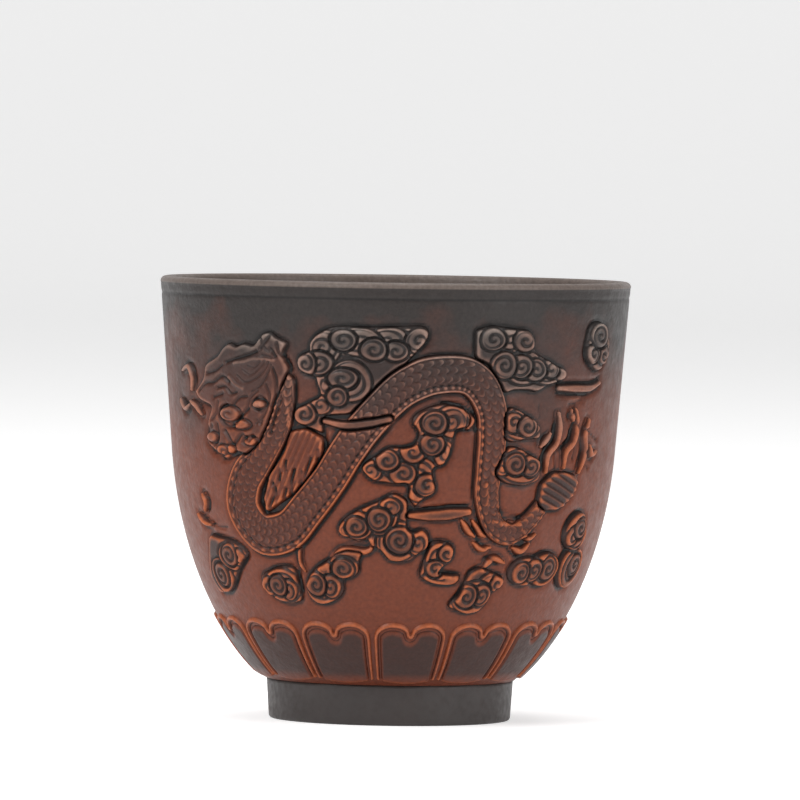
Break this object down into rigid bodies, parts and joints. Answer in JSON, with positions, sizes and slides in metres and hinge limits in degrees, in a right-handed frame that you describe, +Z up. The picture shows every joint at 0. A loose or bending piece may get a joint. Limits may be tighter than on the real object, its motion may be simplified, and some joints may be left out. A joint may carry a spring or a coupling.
{
  "type": "tea cup",
  "caption": "Handleless ceramic tea cup on a low foot ring, with a dragon among clouds in low relief and a band of lotus petals.",
  "frame": {"origin": "middle of the face that the cup stands on", "axes": "+Z up along the cup's axis, out of its mouth; the front of the relief faces -Y"},
  "size_m": [0.075, 0.075, 0.07],
  "materials": {
    "burnished_clay": "satin",
    "bare_clay": "matte",
    "inner_glaze": "gloss"
  },
  "bodies": {
    "root": {"bowl": "burnished_clay", "foot_ring": "bare_clay", "glaze_lining": "inner_glaze", "lotus_petal_1": "burnished_clay", "lotus_petal_2": "burnished_clay", "lotus_petal_3": "burnished_clay", "lotus_petal_4": "burnished_clay", "lotus_petal_5": "burnished_clay", "lotus_petal_6": "burnished_clay", "lotus_petal_7": "burnished_clay", "lotus_petal_8": "burnished_clay", "lotus_petal_9": "burnished_clay", "lotus_petal_10": "burnished_clay", "lotus_petal_11": "burnished_clay", "lotus_petal_12": "burnished_clay", "lotus_petal_13": "burnished_clay", "lotus_petal_14": "burnished_clay", "back_cloud_bank_1": "burnished_clay", "back_cloud_bank_10": "burnished_clay", "back_cloud_bank_11": "burnished_clay", "back_cloud_bank_12": "burnished_clay", "back_cloud_bank_13": "burnished_clay", "back_cloud_bank_14": "burnished_clay", "back_cloud_bank_2": "burnished_clay", "back_cloud_bank_3": "burnished_clay", "back_cloud_bank_4": "burnished_clay", "back_cloud_bank_5": "burnished_clay", "back_cloud_bank_6": "burnished_clay", "back_cloud_bank_7": "burnished_clay", "back_cloud_bank_8": "burnished_clay", "back_cloud_bank_9": "burnished_clay", "back_cloud_ribbon": "burnished_clay", "back_dragon_body": "burnished_clay", "back_dragon_head": "burnished_clay", "back_dragon_hind_leg": "burnished_clay", "back_dragon_mane": "burnished_clay", "back_dragon_tail_fan": "burnished_clay", "back_scroll_band": "burnished_clay", "front_cloud_bank_1": "burnished_clay", "front_cloud_bank_10": "burnished_clay", "front_cloud_bank_11": "burnished_clay", "front_cloud_bank_12": "burnished_clay", "front_cloud_bank_13": "burnished_clay", "front_cloud_bank_14": "burnished_clay", "front_cloud_bank_2": "burnished_clay", "front_cloud_bank_3": "burnished_clay", "front_cloud_bank_4": "burnished_clay", "front_cloud_bank_5": "burnished_clay", "front_cloud_bank_6": "burnished_clay", "front_cloud_bank_7": "burnished_clay", "front_cloud_bank_8": "burnished_clay", "front_cloud_bank_9": "burnished_clay", "front_cloud_ribbon": "burnished_clay", "front_dragon_body": "burnished_clay", "front_dragon_head": "burnished_clay", "front_dragon_hind_leg": "burnished_clay", "front_dragon_mane": "burnished_clay", "front_dragon_tail_fan": "burnished_clay", "front_scroll_band": "burnished_clay"}
  },
  "joints": []
}
